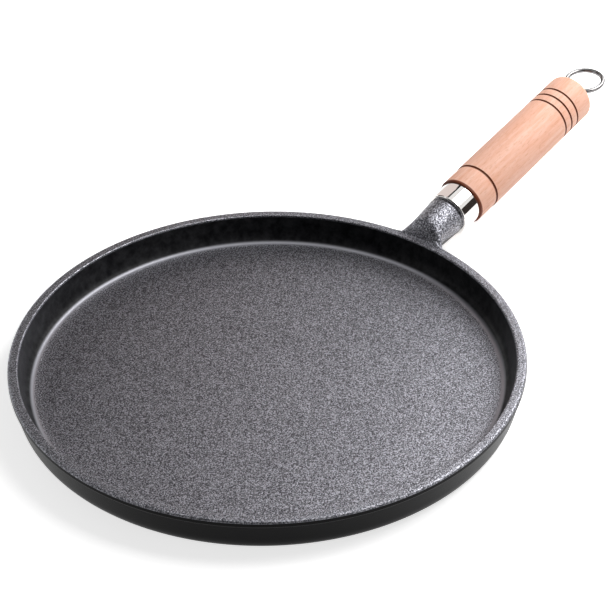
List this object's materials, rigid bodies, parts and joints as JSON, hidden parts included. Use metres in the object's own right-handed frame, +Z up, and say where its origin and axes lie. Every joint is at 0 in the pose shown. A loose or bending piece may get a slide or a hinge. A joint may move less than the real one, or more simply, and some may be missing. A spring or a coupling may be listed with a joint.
{
  "type": "frying pan",
  "caption": "Shallow round cast iron frying pan with a rising cast stub, a polished ferrule, a turned wooden handle and a wire hanging ring.",
  "frame": {"origin": "centre of the pan's flat underside", "axes": "+Z up out of the pan's mouth, +X along the handle as seen from above, +Y across it"},
  "size_m": [0.435, 0.2612, 0.0617],
  "materials": {
    "iron": "seasoned, fine grained cast skin",
    "ferrule_steel": "polished",
    "beech": "turned, sanded and oiled, grooves burnt dark",
    "rod_steel": "bright drawn",
    "washer_steel": "bright",
    "ring_steel": "polished"
  },
  "bodies": {
    "pan": {"pan_casting": "iron", "ferrule": "ferrule_steel", "wooden_handle": "beech", "tie_rod": "rod_steel", "end_washer": "washer_steel"},
    "ring": {"hanging_ring": "ring_steel"}
  },
  "joints": [
    {"name": "ring_swing", "type": "hinge", "parent": "pan", "child": "ring", "pos_m": [0.28182, 0, 0.04913], "axis": [0, 1, 0], "range_deg": [-117, 113]}
  ]
}
